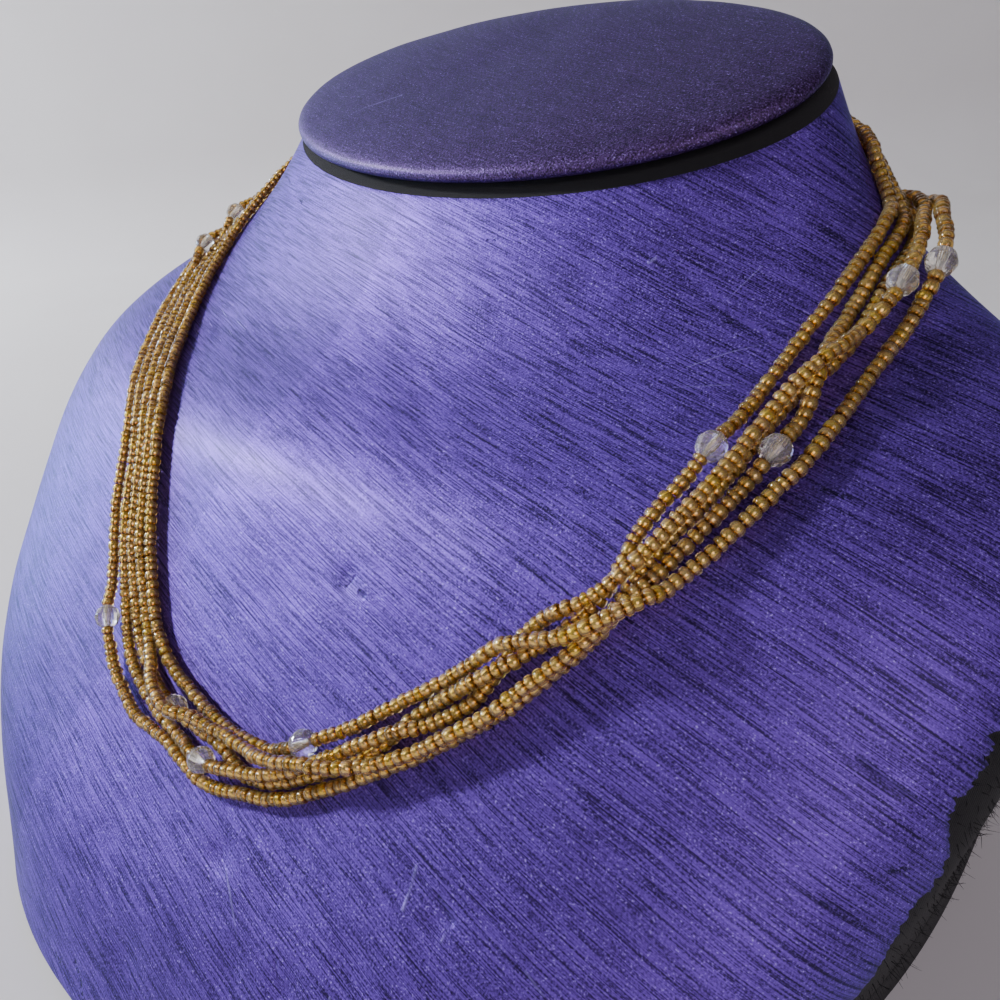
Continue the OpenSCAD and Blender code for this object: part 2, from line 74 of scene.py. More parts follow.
# along the middle line, side, layer, 1 at a crystal
strands = [np.array(rows, float) for rows in (
    [[5, -2, 0, 0], [30, -2, 0, 0], [36, -2, 0.6, 0], [40, -2, 1.35, 1], [44, -2, 0.6, 0],
     [50, -2, 0, 0], [62, -2, 0, 0], [69, -1.2, 0, 0], [74, -0.65, 0, 0], [78, -0.85, 0, 0],
     [82, -1, 0, 0], [90, -1.5, 0, 0], [100, -1.9, 0, 0], [112, -1.9, 0, 0],
     [118, -1.9, 0.6, 1], [124, -2, 0, 0], [131, -1.7, 0, 0], [136, -0.9, 0, 0],
     [141, -0.45, 0, 0], [146, -0.3, 0, 0], [150, 0, 0.5, 0], [154, 0.2, 0.95, 0],
     [158, 0.1, 1, 0], [162, -0.05, 0.3, 0], [166, -0.1, 0, 0], [170, 0.2, 0, 0],
     [174, 0.7, 0, 0], [178, 0.9, 0, 0], [190, 0.8, 0, 0], [196, 0.85, 0, 0],
     [200, 0.25, 0, 0], [204, -0.5, 0, 0], [209, -0.7, 0.2, 0], [215, -0.6, 0.6, 1],
     [222, -0.1, 0, 0], [232, 0.05, 0, 0], [248, 0.4, 0, 0], [263, 0.3, 0, 0],
     [276, 0, 0, 0], [300, 0, 0, 0], [316, -0.1, 0, 0], [323, -0.2, 0.1, 0],
     [329, -0.15, 0.95, 1], [336, 0, 0.2, 0], [345, 0, 0, 0], [409, 0, 0, 0]],
    [[5, -1, 0, 0], [62, -1, 0, 0], [69, -0.3, 0, 0], [74, 0.4, 0, 0], [79, 0.15, 0, 0],
     [85, -0.1, 0, 0], [92, -0.2, 0, 0], [96, 0, 0.5, 0], [100, 0.3, 1, 0],
     [104, 0.75, 1, 0], [107, 1.1, 0.5, 0], [110, 1.35, 0.3, 0], [115, 1.4, 0.6, 1],
     [120, 1.05, 0, 0], [130, 0.95, 0, 0], [137, 0.95, 0.8, 0], [142, 1, 1, 0],
     [147, 1.3, 1, 0], [153, 1.8, 1, 0], [160, 2.2, 1, 0], [170, 2.1, 1, 0],
     [175, 1.8, 1.05, 0], [180, 1.1, 1.7, 0], [184, 0.4, 2, 0], [190, -0.5, 1.9, 0],
     [196, -1.1, 1.3, 0], [202, -1.5, 1.1, 0], [208, -1.6, 1.4, 0], [214, -0.9, 2.05, 0],
     [220, -0.95, 1.5, 0], [226, -1, 0.5, 0], [232, -1, 0, 0], [248, -0.7, 0, 0],
     [263, -0.75, 0, 0], [276, -1, 0, 0], [300, -1, 0, 0], [316, -1.2, 0, 0],
     [323, -1.25, 0, 0], [329, -1.42, 0, 0], [336, -1.15, 0, 0], [345, -1, 0.1, 0],
     [352, -1, 1.3, 1], [359, -1, 0.1, 0], [409, -1, 0, 0]],
    [[5, 1, 0, 0], [62, 1, 0, 0], [66, 1.25, 0.65, 0], [70, 1.2, 1, 0], [75, 1.1, 1, 0],
     [81, 1.5, 1.3, 0], [87.5, 1.8, 1.4, 1], [94, 1.4, 1.1, 0], [99, 1.2, 1.6, 0],
     [103, 0.8, 2, 0], [107, 0.3, 1.7, 0], [111, 0, 1.15, 0], [116, 0, 1.1, 0],
     [130, 0, 1.05, 0], [134, -0.15, 1.05, 0], [139, -0.45, 1, 0], [144, -1.05, 1, 0],
     [148, -1.4, 0.2, 0], [151, -1.2, 0, 0], [154, -0.4, 0, 0], [157, 0.3, 0, 0],
     [161, 0.9, 0, 0], [165, 1, 0.3, 0], [170, 0.7, 1, 0], [175, 0.4, 1, 0],
     [180, 0.25, 1, 0], [186, 0.35, 1, 0], [192, 0.35, 1, 0], [197, 0.5, 1, 0],
     [205, 0.85, 0.7, 1], [212, 0.9, 0, 0], [220, 1, 0, 0], [230, 1.4, 0, 0],
     [240, 1.3, 0, 0], [255, 1.5, 0, 0], [264, 1.3, 0, 0], [276, 1, 0, 0],
     [300, 1, 0, 0], [313, 1, 0.2, 0], [320, 1.05, 0.95, 1], [326, 1.2, 0.1, 0],
     [330, 1.2, 0, 0], [336, 1.05, 0, 0], [345, 1, 0, 0], [409, 1, 0, 0]],
    [[5, 2, 0, 0], [62, 2, 0, 0], [66, 2.15, 1, 0], [70, 2, 1.8, 0], [75, 1.8, 1.85, 0],
     [79, 2.7, 1.85, 0], [83.5, 3.4, 1.6, 1], [90, 3.3, 0.5, 0], [96, 3, 0, 0],
     [108, 2.9, 0, 0], [114, 2.9, 0, 0], [120, 2.5, 0, 0], [128, 2.2, 0, 0],
     [133, 1.95, 0.4, 0], [137, 1.6, 1.6, 0], [141, 1, 2, 0], [146, 0.4, 1.9, 0],
     [150, -0.4, 1.6, 0], [154, -1, 1.1, 0], [158, -1.1, 0.4, 0], [163, -1.1, 0, 0],
     [176, -1.2, 0, 0], [186, -1.2, 0.6, 1], [193, -1.2, 0, 0], [200, -1.5, 0, 0],
     [209, -2, 0, 0], [215, -2.1, 0, 0], [226, -2, 0, 0], [248, -2, 0, 0],
     [263, -1.9, 0, 0], [276, -2.05, 0, 0], [300, -2.05, 0, 0], [316, -2.25, 0, 0],
     [329, -2.4, 0, 0], [336, -2.2, 0, 0], [345, -2.05, 0, 0], [363, -2, 0.1, 0],
     [370, -2, 1.35, 1], [377, -2, 0.1, 0], [409, -2, 0, 0]],
    [[5, 0, 0, 0], [45, 0, 0.1, 0], [52, 0, 1.3, 1], [59, 0, 0.1, 0], [62, 0.1, 0, 0],
     [66, 0.4, 0, 0], [70, 1, 0, 0], [75, 1.6, 0, 0], [80, 1.35, 0, 0], [87, 0.9, 0, 0],
     [96, 0.9, 0, 0], [100, 0.7, 0, 0], [105, 0.05, 0, 0], [109, -0.1, 0, 0],
     [130, -0.05, 0, 0], [136, 0.2, 0, 0], [141, 0.7, 0, 0], [146, 1.2, 0, 0],
     [150, 1.6, 0, 0], [157, 2.2, 0, 0], [170, 2.2, 0, 0], [178, 1.95, 0, 0],
     [190, 1.85, 0, 0], [197, 1.95, 0, 0], [204, 2.3, 0, 0], [210, 1.95, 0, 0],
     [214, 1.9, 0, 0], [218, 2.3, 0, 0], [223, 3, 0, 0], [230, 3.1, 0.2, 0],
     [237, 2.8, 0.7, 1], [244, 2.8, 0, 0], [256, 3, 0, 0], [264, 2.7, 0, 0],
     [276, 2, 0, 0], [300, 2.05, 0, 0], [313, 2.1, 0, 0], [320, 2.4, 0, 0],
     [328, 2.4, 0, 0], [333, 2.3, 0.2, 0], [339, 2.2, 1.2, 1], [346, 2.15, 0.1, 0],
     [360, 2, 0, 0], [409, 2, 0, 0]])]


def slopes(table):
    """Slopes of a smooth curve through the rows, which doesn't swing past them."""
    steps = np.diff(table[:, 0])[:, None]
    rises = np.diff(table, axis=0) / steps
    before, after, h0, h1 = rises[:-1], rises[1:], steps[:-1], steps[1:]
    same = before * after > 0
    safe_before, safe_after = np.where(same, before, 1), np.where(same, after, 1)
    inner = 3 * (h0 + h1) / ((2 * h1 + h0) / safe_before + (h1 + 2 * h0) / safe_after)

    def end(near, far, a, b):
        m = ((2 * a + b) * near - a * far) / (a + b)
        m = np.where(m * near <= 0, 0, m)
        return np.where((near * far < 0) & (abs(m) > 3 * abs(near)), 3 * near, m)
    first = end(rises[0], rises[1], steps[0], steps[1])
    last = end(rises[-1], rises[-2], steps[-1], steps[-2])
    return np.vstack([first, np.where(same, inner, 0), last])


def read(table, slope, key):
    """The rows of a smooth table at the keys."""
    key = np.asarray(key, float)
    i = np.clip(np.searchsorted(table[:, 0], key, side="right") - 1, 0, len(table) - 2)
    h = (table[i + 1, 0] - table[i, 0])
    u = ((key - table[i, 0]) / h)[..., None]
    h = h[..., None]
    return ((1 + 2 * u) * (1 - u) ** 2 * table[i] + u * (1 - u) ** 2 * h * slope[i]
            + u * u * (3 - 2 * u) * table[i + 1] - u * u * (1 - u) * h * slope[i + 1])


section_slopes = slopes(sections)
neck_y = sections[0][2] * base_d


def skin(around, down):
    """The bust's skin at an angle around and a share down."""
    around, down = np.broadcast_arrays(np.radians(around), np.asarray(down, float))
    s = read(sections, section_slopes, down)
    front = np.cos(around) > 0
    depth = np.where(front, s[..., 4], s[..., 5]) * base_d
    power = np.where(front, s[..., 7], s[..., 8])
    across = abs(np.sin(around)) / (s[..., 3] * bust_w / 2)
    reach = (across ** power + (abs(np.cos(around)) / depth) ** power) ** (-1 / power)
    y = -reach * np.cos(around)
    tilt = np.radians(s[..., 6] * neck_tilt)
    return np.stack([reach * np.sin(around), s[..., 2] * base_d + y * np.cos(tilt),
                     body_z + s[..., 1] * (neck_h - body_z) + y * np.sin(tilt)], -1)


def unit(v):
    return v / np.linalg.norm(v, axis=-1, keepdims=True)


def run_along(points):
    """How far along the line each of its points lies."""
    return np.concatenate([[0], np.cumsum(np.linalg.norm(np.diff(points, axis=0), axis=1))])


def skin_across(around, down):
    return skin(around + 0.5, down) - skin(around - 0.5, down)


def skin_down(around, down):
    down = np.clip(down, 0.5, 99.5)
    return skin(around, down + 0.5) - skin(around, down - 0.5)


def skin_normal(around, down):
    return unit(np.cross(skin_down(around, down), skin_across(around, down)))


middle_points = skin(middle[:, 0], middle[:, 1])
middle_run = run_along(middle_points)
middle_table = np.column_stack([middle_run, middle])
middle_slopes = slopes(middle_table)
stretch = middle_run[-1] / table_length


def beside(along, side, layer):
    """Points beside and above the middle line, and the directions away from the bust."""
    run = along * stretch
    here, ahead_of, behind = (read(middle_table, middle_slopes, run + d) for d in (0, 0.5, -0.5))
    ahead = unit(skin(ahead_of[..., 1], ahead_of[..., 2]) - skin(behind[..., 1], behind[..., 2]))
    a, d = skin_across(here[..., 1], here[..., 2]), skin_down(here[..., 1], here[..., 2])
    out = np.cross(unit(np.cross(d, a)), ahead)

    def dot(u, v):
        return (u * v).sum(-1)
    fold = dot(a, a) * dot(d, d) - dot(a, d) ** 2
    width = strand_step * side
    around = here[..., 1] + width * (dot(a, out) * dot(d, d) - dot(d, out) * dot(a, d)) / fold
    down = here[..., 2] + width * (dot(d, out) * dot(a, a) - dot(a, out) * dot(a, d)) / fold
    away = skin_normal(around, down)
    return skin(around, down) + away * (first_lift + strand_step * layer)[..., None], away


def place(rows, along):
    """Points of a strand and the directions away from the bust."""
    r = read(rows, slopes(rows), along)
    return beside(np.asarray(along, float), r[..., 1], r[..., 2])


# ---- Making meshes ----

def mesh_piece(name, points, faces, smooth=True):
    """A piece from points in millimetres, with its place in its mesh."""
    mesh = bpy.data.meshes.new(name)
    mesh.from_pydata((np.asarray(points) * MM).tolist(), [], faces)
    mesh.validate()
    mesh.polygons.foreach_set("use_smooth", [smooth] * len(mesh.polygons))
    piece = bpy.data.objects.new(name, mesh)
    bpy.context.scene.collection.objects.link(piece)
    return piece


def ring_faces(rows, columns):
    """Faces between closed rings of points, with both ends closed. Rows run from the top down."""
    faces = [tuple(range(columns))]
    for i in range(rows - 1):
        for k in range(columns):
            n = (k + 1) % columns
            faces.append((i * columns + k, (i + 1) * columns + k,
                          (i + 1) * columns + n, i * columns + n))
    faces.append(tuple((rows - 1) * columns + k for k in reversed(range(columns))))
    return faces


def finish_piece(piece, material, slot, *nodes):
    """Gives a piece its material, unless it has its own, puts it under the root body and hides the
    given parts.
    """
    if material is not None:
        piece.data.materials.clear()
        piece.data.materials.append(material)
    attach(piece, "root")
    if nodes:
        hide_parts(*nodes)
    return piece


# ---- Materials ----

def add(tree, kind, inputs=None, **settings):
    """A node with settings, and with inputs by name or number that are joined or set."""
    node = tree.nodes.new(kind)
    for key, value in settings.items():
        setattr(node, key, value)
    for key, value in (inputs or {}).items():
        if isinstance(value, bpy.types.NodeSocket):
            tree.links.new(value, node.inputs[key])
        elif value is not None:
            node.inputs[key].default_value = value
    return node


def opaque(color):
    return (*color, 1) if isinstance(color, tuple) else color


class Nodes:
    """Short calls for a material's nodes."""

    def __init__(self, name):
        self.material = bpy.data.materials.new(name)
        self.material.use_nodes = True
        self.tree = self.material.node_tree
        self.tree.nodes.clear()
        self.place = self.new("TexCoord").outputs["Object"]

    def new(self, kind, inputs=None, **settings):
        return add(self.tree, "ShaderNode" + kind, inputs, **settings)

    def math(self, what, *values):
        return self.new("Math", dict(enumerate(values)), operation=what).outputs[0]

    def vector(self, what, a, b):
        node = self.new("VectorMath", {0: a, 1: b}, operation=what)
        return node.outputs["Value" if what == "DOT_PRODUCT" else "Vector"]

    def sized(self, x, y=None, z=None, source=None):
        """The place, or another vector, divided by sizes in millimetres; one size serves all."""
        sizes = (x, x if y is None else y, x if z is None else z)
        return self.vector("DIVIDE", source or self.place, [size * MM for size in sizes])

    def noise(self, where, detail=2.0, roughness=0.5):
        return self.new("TexNoise", {"Vector": where, "Scale": 1.0, "Detail": detail,
                                     "Roughness": roughness}).outputs["Fac"]

    def cells(self, where):
        """How far a place is from the middle of its cell."""
        return self.new("TexVoronoi", {"Vector": where, "Scale": 1.0}).outputs["Distance"]

    def span(self, value, low, high, to_low=0.0, to_high=1.0):
        """The value's way from low to high, taken softly from to_low to to_high."""
        values = dict(enumerate((value, low, high, to_low, to_high)))
        return self.new("MapRange", values, interpolation_type="SMOOTHSTEP").outputs[0]

    def mix(self, share, a, b):
        # the sockets for colours come after those for numbers and vectors
        values = {0: share, 6: opaque(a), 7: opaque(b)}
        return self.new("Mix", values, data_type="RGBA").outputs[2]

    def bump(self, height, depth, strength=1.0, under=None):
        """depth in millimetres is how far a height of 1 stands out."""
        return self.new("Bump", {"Strength": strength, "Distance": depth * MM,
                                 "Height": height, "Normal": under}).outputs[0]

    def surface(self, **values):
        """The finished material, from the shader's sockets with _ for each space."""
        values = {key.replace("_", " "): opaque(value) for key, value in values.items()}
        shader = self.new("BsdfPrincipled", values)
        self.new("OutputMaterial", {0: shader.outputs[0]})
        return self.material


def line_group():
    """A node group: how near a place is to a short line, 1 on it and 0 beyond its width."""
    tree = bpy.data.node_groups.new("Near a line", "ShaderNodeTree")
    for name, kind in (("Place", "NodeSocketVector"), ("From", "NodeSocketVector"),
                       ("To", "NodeSocketVector"), ("Width", "NodeSocketFloat")):
        tree.interface.new_socket(name, in_out="INPUT", socket_type=kind)
    tree.interface.new_socket("Near", in_out="OUTPUT", socket_type="NodeSocketFloat")
    start = tree.nodes.new("NodeGroupInput").outputs

    def vector(what, a, b):
        node = add(tree, "ShaderNodeVectorMath", {0: a, "Scale" if what == "SCALE" else 1: b},
                   operation=what)
        return node.outputs["Value" if what in ("DOT_PRODUCT", "DISTANCE") else "Vector"]
    # each node is made after what it reads, so that few values are held at a time
    line = vector("SUBTRACT", start["To"], start["From"])
    off = vector("SUBTRACT", start["Place"], start["From"])
    along, whole = vector("DOT_PRODUCT", off, line), vector("DOT_PRODUCT", line, line)
    share = add(tree, "ShaderNodeMath", {0: along, 1: whole}, operation="DIVIDE", use_clamp=True)
    away = vector("DISTANCE", off, vector("SCALE", line, share.outputs[0]))
    near = add(tree, "ShaderNodeMapRange", {"Value": away, "From Min": 0, "To Min": 1, "To Max": 0,
                                            "From Max": start["Width"]},
               interpolation_type="SMOOTHSTEP")
    add(tree, "NodeGroupOutput", {0: near.outputs[0]})
    return tree


near_a_line = line_group()


def marks(n, lines):
    """The strongest of several lines: from, to and width in millimetres."""
    total = None
    for start, stop, width in lines:
        near = n.new("Group", node_tree=near_a_line)
        n.tree.links.new(n.place, near.inputs["Place"])
        near.inputs["From"].default_value = [c * MM for c in start]
        near.inputs["To"].default_value = [c * MM for c in stop]
        near.inputs["Width"].default_value = width * MM
        total = near.outputs[0] if total is None else n.math("MAXIMUM", total, near.outputs[0])
    return total


def on_skin(rows, sector):
    """Lines on the bust from rows of around, down, around, down, width."""
    return [(skin(a, d).tolist(), skin(b, e).tolist(), w) for a, d, b, e, w in rows
            if sector[0] <= a < sector[1]]


def on_cap(rows, height):
    """Lines on the cap from rows of across, back, across, back, width."""
    t = math.radians(neck_tilt)

    def spot(x, v):
        return [x, neck_y + v * math.cos(t) - height * math.sin(t),
                neck_h + v * math.sin(t) + height * math.cos(t)]
    return [(spot(a, b), spot(c, d), w) for a, b, c, d, w in rows]


# How steeply the brushed planes rise across and backwards, how the first eases off (per
# metre), and in metres where and how softly the second turns back
slant_x, slant_y, slant_bend, turn_back, turn_soft = 0.447, 1.155, 0.61, 0.045, 0.015


def leatherette(name, light_lines, dark_lines, creases, lined, deep, bright):
    """Brushed metallic purple leatherette: streaks, grain, scuffs and worn nicks, with painted
    glints and painted shade in its creases.

    lined is the share of the brush lines in its grain; deep and bright are its two colours."""
    n = Nodes(name)
    x, y, z = n.new("SeparateXYZ", {0: n.place}).outputs
    # the brush lines are where slanting planes cut the skin; behind the neck the slant turns back
    behind = n.math("SUBTRACT", y, turn_back)
    behind = n.math("SQRT", n.math("ADD", n.math("MULTIPLY", behind, behind), turn_soft ** 2))
    fall = n.math("MULTIPLY", x, n.math("MULTIPLY_ADD", x, -slant_bend, slant_x))
    fall = n.math("SUBTRACT", fall, n.math("MULTIPLY", behind, slant_y))
    wave = n.math("SUBTRACT", n.noise(n.sized(30), 1.0), 0.5)
    level = n.math("ADD", n.math("ADD", z, fall), n.math("MULTIPLY", wave, 2 * MM))
    brushed = n.new("CombineXYZ", {0: x, 1: y, 2: level}).outputs[0]
    fine = n.noise(n.sized(6, 6, 0.34, source=brushed), 0.0)
    thin = n.noise(n.sized(10, 10, 0.20, source=brushed), 1.0, 0.7)
    speck = n.noise(n.sized(0.27), 2.0, 0.6)
    leather = n.cells(n.sized(1.7))
    cloudy = n.noise(n.sized(40), 3.0, 0.6)
    streak = n.math("ADD", n.math("MULTIPLY", fine, 0.4), n.math("MULTIPLY", thin, 0.6))
    grain = n.math("ADD", n.math("MULTIPLY", streak, lined),
                   n.math("MULTIPLY", speck, 1 - lined))
    shade = n.span(grain, 0.38, 0.60)
    color = n.mix(shade, deep, bright)
    color = n.mix(n.span(cloudy, 0.45, 0.7, 0.0, 0.2), color, tuple(c * 2.5 for c in deep))
    # painted glints: bright lavender specks along the brush lines, mixed into the colour as painted
    # highlights
    glint = n.math("MULTIPLY", n.span(speck, 0.60, 0.72), n.span(fine, 0.40, 0.60, 0.3, 1.0))
    color = n.mix(n.math("MULTIPLY", glint, 0.7), color, (0.50, 0.40, 0.95))
    pale, worn, crease_dip_and_shade = (marks(n, lines) for lines in (light_lines, dark_lines, creases))
    worn = n.math("MULTIPLY", worn, n.span(n.noise(n.sized(0.7), 3.0, 0.7), 0.42, 0.56))
    color = n.mix(n.math("MULTIPLY", pale, 0.45), color, (0.36, 0.30, 0.76))
    color = n.mix(n.math("MULTIPLY", worn, 0.95), color, (0.008, 0.006, 0.014))
    # painted shade: the creases are darkened in colour, besides their dip in the bump
    color = n.mix(n.math("MULTIPLY", crease_dip_and_shade, 0.5), color, (0.02, 0.012, 0.06))
    dip = n.math("SUBTRACT", n.math("MULTIPLY", pale, 0.35),
                 n.math("ADD", crease_dip_and_shade, n.math("MULTIPLY", worn, 0.6)))
    normal = n.bump(leather, 0.07, 0.5)
    normal = n.bump(grain, 0.10, 1.0, normal)
    normal = n.bump(dip, 0.2, 0.9, normal)
    rough = n.span(speck, 0.3, 0.7, 0.42, 0.58)
    return n.surface(Base_Color=color, Roughness=rough, Metallic=0.72, Normal=normal,
                     Specular_Tint=(0.50, 0.70, 1.0), Specular_IOR_Level=0.7,
                     Coat_Weight=0.08, Coat_Roughness=0.34)


def woven_black():
    """Black cotton twill."""
    n = Nodes("black_cover_cloth")
    warp, weft = (
        n.math("SINE", n.math("MULTIPLY", n.vector("DOT_PRODUCT", n.sized(step), way), 2 * math.pi))
        for step, way in ((0.16, (0.7, 0.5, 0.5)), (0.19, (-0.4, 0.6, 0.7))))
    weave = n.math("MULTIPLY", warp, weft)
    fuzz = n.noise(n.sized(0.35), 4.0, 0.7)
    height = n.math("ADD", n.math("MULTIPLY", weave, 0.5), fuzz)
    color = n.mix(n.span(height, 0.1, 1.1), (0.0015, 0.0015, 0.002), (0.008, 0.008, 0.010))
    return n.surface(Base_Color=color, Roughness=0.9, Sheen_Weight=0.04,
                     Sheen_Roughness=0.5, Normal=n.bump(height, 0.12, 0.8))


def amber_glass():
    """Amber glass, darker and deeper towards a bead's ends as painted shade in the notches between
    beads; a bead's tint runs from 0 to 1.
    """
    n = Nodes("smoky_amber_glass")
    tint = n.new("Attribute", attribute_name="tint").outputs["Fac"]
    near_end = n.span(n.new("Attribute", attribute_name="near_end").outputs["Fac"], 0.45, 1.0)
    color = n.mix(tint, (1.0, 0.80, 0.42), (1.0, 0.82, 0.16))
    # painted shade: the glass turns dark brown-orange near the bead's ends, where the notches
    # between beads lie
    color = n.mix(near_end, color, n.mix(tint, (0.42, 0.16, 0.03), (0.80, 0.42, 0.03)))
    return n.surface(Base_Color=color, Roughness=0.04, IOR=1.5,
                     Transmission_Weight=0.87,
                     Normal=n.bump(n.noise(n.sized(0.8), 2.0), 0.02, 0.4))


def gold_lining():
    n = Nodes("gold_lining")
    dull = n.noise(n.sized(0.5), 3.0, 0.6)
    color = n.mix(dull, (0.72, 0.52, 0.22), (1.0, 0.84, 0.46))
    return n.surface(Base_Color=color, Metallic=1.0,
                     Roughness=n.span(dull, 0.3, 0.7, 0.14, 0.26),
                     Normal=n.bump(dull, 0.03, 0.4))


def cream_thread():
    n = Nodes("cream_thread")
    ply = n.noise(n.sized(0.15), 3.0, 0.7)
    return n.surface(Base_Color=n.mix(ply, (0.55, 0.42, 0.24), (0.86, 0.76, 0.56)),
                     Roughness=0.7, Normal=n.bump(ply, 0.05, 0.6))


def clear_crystal():
    n = Nodes("clear_cut_crystal")
    haze = n.noise(n.sized(0.9), 3.0, 0.6)
    return n.surface(Base_Color=n.mix(haze, (0.99, 0.94, 0.82), (1.0, 0.98, 0.92)),
                     Roughness=n.span(haze, 0.4, 0.8, 0.0, 0.05), IOR=1.6,
                     Transmission_Weight=0.9)


def brushed_brass():
    n = Nodes("clasp_brass")
    lines = n.noise(n.sized(4, 4, 0.08), 3.0, 0.6)
    return n.surface(Base_Color=n.mix(lines, (0.55, 0.38, 0.14), (0.82, 0.62, 0.30)),
                     Metallic=1.0, Roughness=n.span(lines, 0.3, 0.7, 0.2, 0.38),
                     Normal=n.bump(lines, 0.02, 0.5))


# Marks on the bust: around, down, around, down, width
pale_scratches = [
    (68.9, 16.1, 74.1, 13.0, 0.16), (64.3, 22.7, 68.8, 21.8, 0.16), (68.8, 21.8, 75.2, 22.0, 0.18),
    (62.5, 24.9, 68.2, 25.5, 0.12), (60.5, 9.8, 61.5, 9.4, 0.35), (8.1, 77.4, 10.4, 79.8, 0.3),
    (10.4, 79.8, 12.5, 82.8, 0.3), (5.4, 88.0, 5.8, 88.8, 0.3), (5.7, 86.6, 6.4, 88.5, 0.3),
    (8.0, 90.5, 6.9, 91.5, 0.3), (6.9, 91.5, 6.5, 92.4, 0.3), (29.0, 69.8, 27.8, 72.8, 0.4),
    (31.9, 71.9, 31.0, 73.6, 0.35), (37.0, 73.4, 38.0, 74.7, 0.25), (22.6, 82.5, 23.7, 86.4, 0.3),
    (-60.2, 28.1, -52.9, 28.9, 0.16), (-61.4, 25.7, -54.9, 26.4, 0.16),
    (-54.9, 25.4, -50.2, 25.7, 0.2), (-69.3, 23.0, -64.6, 22.8, 0.2),
    (-57.5, 26.6, -52.0, 27.4, 0.12), (-63.0, 29.8, -57.0, 31.0, 0.12)]
black_nicks = [
    (71.4, 37.0, 72.7, 38.3, 0.9), (59.5, 31.5, 60.6, 32.0, 0.5), (57.1, 13.9, 58.3, 13.8, 0.4),
    (68.9, 18.0, 69.6, 18.3, 0.4), (24.0, 5.8, 26.4, 5.8, 0.35), (-73.9, 5.7, -72.6, 5.7, 0.4),
    (-63.4, 6.1, -62.0, 6.1, 0.4), (-4.8, 96.8, -4.4, 97.2, 0.6), (-4.4, 97.2, -3.6, 97.7, 0.6),
    (-3.6, 97.7, -3.0, 98.4, 0.7), (-3.0, 98.4, -2.2, 99.4, 0.7), (-7.8, 98.3, -7.0, 98.3, 0.9),
    (-16.8, 97.7, -14.6, 97.2, 0.5), (86.4, 1.2, 87.2, 2.3, 0.4), (60.0, 67.5, 61.2, 67.9, 0.8)]
# creases: each dips in the bump and is darkened with painted shade
skin_creases = [
    (62.6, 58.6, 63.8, 62.6, 0.5), (55.7, 68.1, 59.5, 74.5, 0.35),
    (-1.9, 91.9, 0.1, 92.4, 0.6), (0.1, 92.4, 2.0, 93.6, 0.6), (2.0, 93.6, 3.1, 94.5, 0.5),
    (17.1, 82.6, 18.9, 86.8, 0.5), (18.3, 52.9, 19.7, 51.8, 0.5), (21.0, 52.9, 21.8, 53.1, 0.6),
    (30.9, 71.0, 31.8, 72.1, 0.9), (7.7, 76.8, 8.1, 77.6, 0.5)]
cap_pale = on_cap([(-35.0, -15.2, -28.1, -9.2, 0.25), (-28.1, -9.2, -21.7, -5.6, 0.2)], 4.9)
cap_black = on_cap([(-19.2, -19.9, -18.4, -19.5, 0.7), (25.9, -18.0, 28.5, -16.5, 1.1),
                    (28.6, -16.4, 31.7, -15.0, 1.2), (34.5, -14.0, 35.5, -13.5, 0.7),
                    (45.3, -11.9, 45.9, -11.3, 0.6), (3.5, -20.7, 4.3, -20.5, 0.6),
                    (10.9, -19.4, 12.3, -18.8, 0.6)], 3.6)
cap_creases = on_cap([(40.9, -8.6, 45.6, -11.6, 0.4), (46.4, -6.2, 50.5, -9.9, 0.45)], 4.7)

# The skin's marks are shared out over sectors, since a material has room for about twenty
sectors = [(-180, -20), (-20, 14), (14, 45), (45, 180)]
skin_leatherettes = [
    leatherette(f"bust_leatherette_{i + 1}", on_skin(pale_scratches, sector),
                on_skin(black_nicks, sector), on_skin(skin_creases, sector), 0.6,
                (0.022, 0.007, 0.060), (0.180, 0.078, 0.540))
    for i, sector in enumerate(sectors)]
# painted shade: the cap's copy of the same leatherette has darker, greyer colours for how its top
# is lit
shaded_cap_leatherette = leatherette("shaded_cap_leatherette", cap_pale, cap_black, cap_creases, 0.2,
                              (0.022, 0.009, 0.028), (0.115, 0.051, 0.200))
cover_cloth = woven_black()


# ---- The bust's skin, with its rolled top edge and its torn side ----

# Where the leatherette is torn away on the right side: around, down
torn_from, torn_to = 46, 108
tear = [(46, 102), (53, 91), (59, 76), (61, 73.1), (63, 70.2), (64.6, 66.3), (65.5, 64.5),
        (67.3, 63.6), (69.5, 59.8), (74, 57.5), (82, 61), (92, 72), (101, 88), (108, 102)]


def torn_below(around, down, spot):
    """How many percent a place lies below the ragged tear."""
    if not torn_from < around < torn_to:
        return -10.0
    line = float(np.interp(around, *zip(*tear)))
    wave = noise.noise(Vector(spot) * 0.22) * 2.2 + noise.noise(Vector(spot) * 0.8) * 1.4
    return down - line + wave + noise.noise(Vector(spot) * 2.3) * 0.8


def column_angles():
    """Angles of the mesh's columns, closer together where the skin is torn."""
    out, a = [], -180.0
    while a < 180 - 1e-6:
        out.append(a)
        a += 0.25 if torn_from <= a < torn_to - 2 else 1.0
    return np.array(out)


def evened(rows):
    """The rows evened out over about a tenth of the way down."""
    reach, spread = 24, 9.0
    share = np.exp(-0.5 * (np.arange(-reach, reach + 1) / spread) ** 2)
    long = np.concatenate([2 * rows[0] - rows[reach:0:-1], rows,
                           2 * rows[-1] - rows[-2:-reach - 2:-1]])
    return sum(w * long[i:i + len(rows)] for i, w in enumerate(share / share.sum()))


# Dents: around, down, depth, size
dents = [(18.5, 84.5, 0.5, 2.6), (28.2, 71.0, 0.3, 2.0), (31.0, 72.2, 0.45, 2.2),
         (8.0, 77.5, 0.35, 2.2), (1.0, 92.5, 0.4, 3.0), (18.6, 52.3, 0.3, 1.8),
         (63.2, 60.6, 0.4, 2.2), (57.5, 71.0, 0.3, 3.0), (-57.0, 27.0, 0.3, 3.5),
         (24.0, 79.0, 0.25, 3.0), (13.0, 87.0, 0.3, 3.0)]


